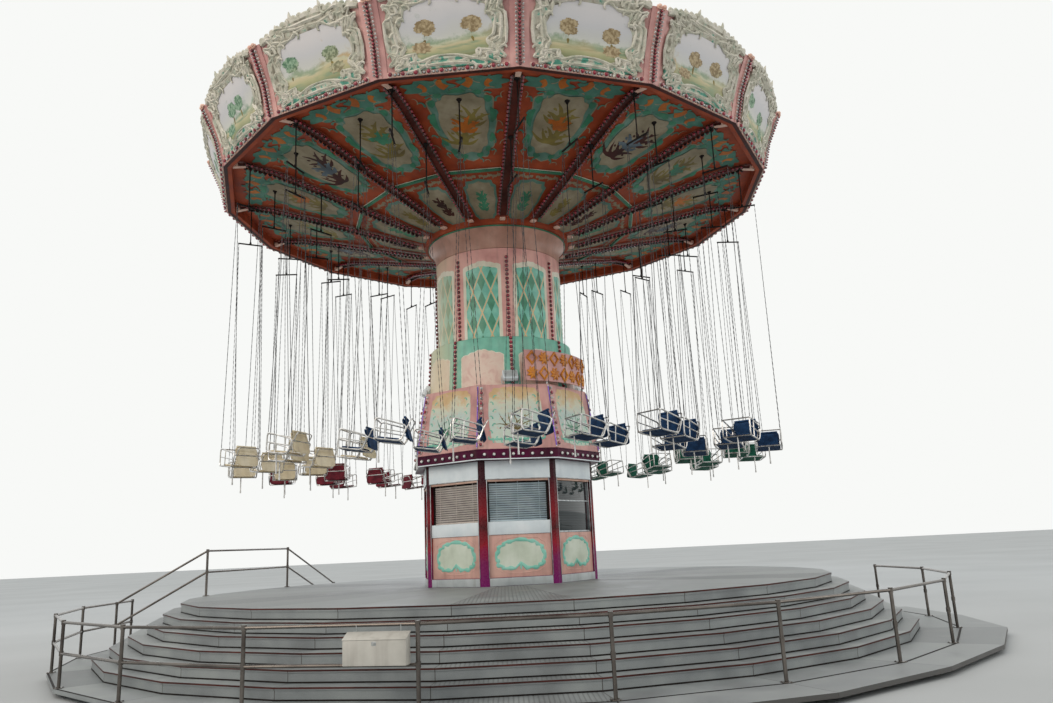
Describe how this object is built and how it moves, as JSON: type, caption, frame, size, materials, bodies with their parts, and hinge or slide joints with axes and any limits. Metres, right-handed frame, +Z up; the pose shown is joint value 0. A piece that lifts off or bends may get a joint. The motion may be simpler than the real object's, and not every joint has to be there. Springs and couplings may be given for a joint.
{
  "type": "chair swing ride",
  "caption": "Fairground chair swing ride: round stepped platform with railings, ticket booth, turning drum, lifting column and a sixteen-sided crown with hanging chairs.",
  "frame": {"origin": "on the ground at the ride's axis", "axes": "+Z up along the axis of turning, -Y towards the booth's front window"},
  "size_m": [18.02, 18.28, 12.31],
  "materials": {
    "steel": "galvanised, satin",
    "plate": "light grey floor plate, matt",
    "rose": "dusty pink paint, satin",
    "wine": "deep magenta paint, glossy",
    "cream": "cream paint, satin",
    "mint": "mint paint, satin",
    "dark": "dark paint, matt",
    "amber": "orange-yellow paint, satin"
  },
  "bodies": {
    "base": {"ground_frame": "dark", "lower_deck": "plate", "apron": "plate", "step_1": "plate", "step_2": "plate", "step_3": "plate", "step_4": "plate", "step_5": "plate", "platform_deck": "plate", "railing_left": "steel", "railing_front_left": "steel", "railing_front_right": "steel", "railing_right": "steel", "railing_exit": "steel", "rail_box": "cream", "booth_frame": "wine", "booth_walls": "rose", "booth_blinds": "plate", "booth_door": "rose", "booth_ceiling": "plate", "cornice": "wine", "skirt": "rose", "sign_board": "amber", "mast": "steel"},
    "drum": {"drum": "mint"},
    "column": {"column": "rose"},
    "crown": {"hub_flare": "rose", "hub_post": "steel", "ceiling": "cream", "rim_beam": "dark", "fascia": "rose", "roof": "cream", "roof_cap": "rose", "swing_arm_01": "rose", "swing_arm_02": "rose", "swing_arm_03": "rose", "swing_arm_04": "rose", "swing_arm_05": "rose", "swing_arm_06": "rose", "swing_arm_07": "rose", "swing_arm_08": "rose", "swing_arm_09": "rose", "swing_arm_10": "rose", "swing_arm_11": "rose", "swing_arm_12": "rose", "swing_arm_13": "rose", "swing_arm_14": "rose", "swing_arm_15": "rose", "swing_arm_16": "rose"}
  },
  "joints": [
    {"name": "drum_turn", "type": "hinge", "parent": "base", "child": "drum", "pos_m": [0, 0, 0], "axis": [0, 0, 1], "continuous": true},
    {"name": "column_lift", "type": "slide", "parent": "drum", "child": "column", "axis": [0, 0, 1], "range_m": [-1.9, 0]},
    {"name": "crown_turn", "type": "hinge", "parent": "column", "child": "crown", "pos_m": [0, 0, 0], "axis": [0, 0, 1], "continuous": true}
  ]
}
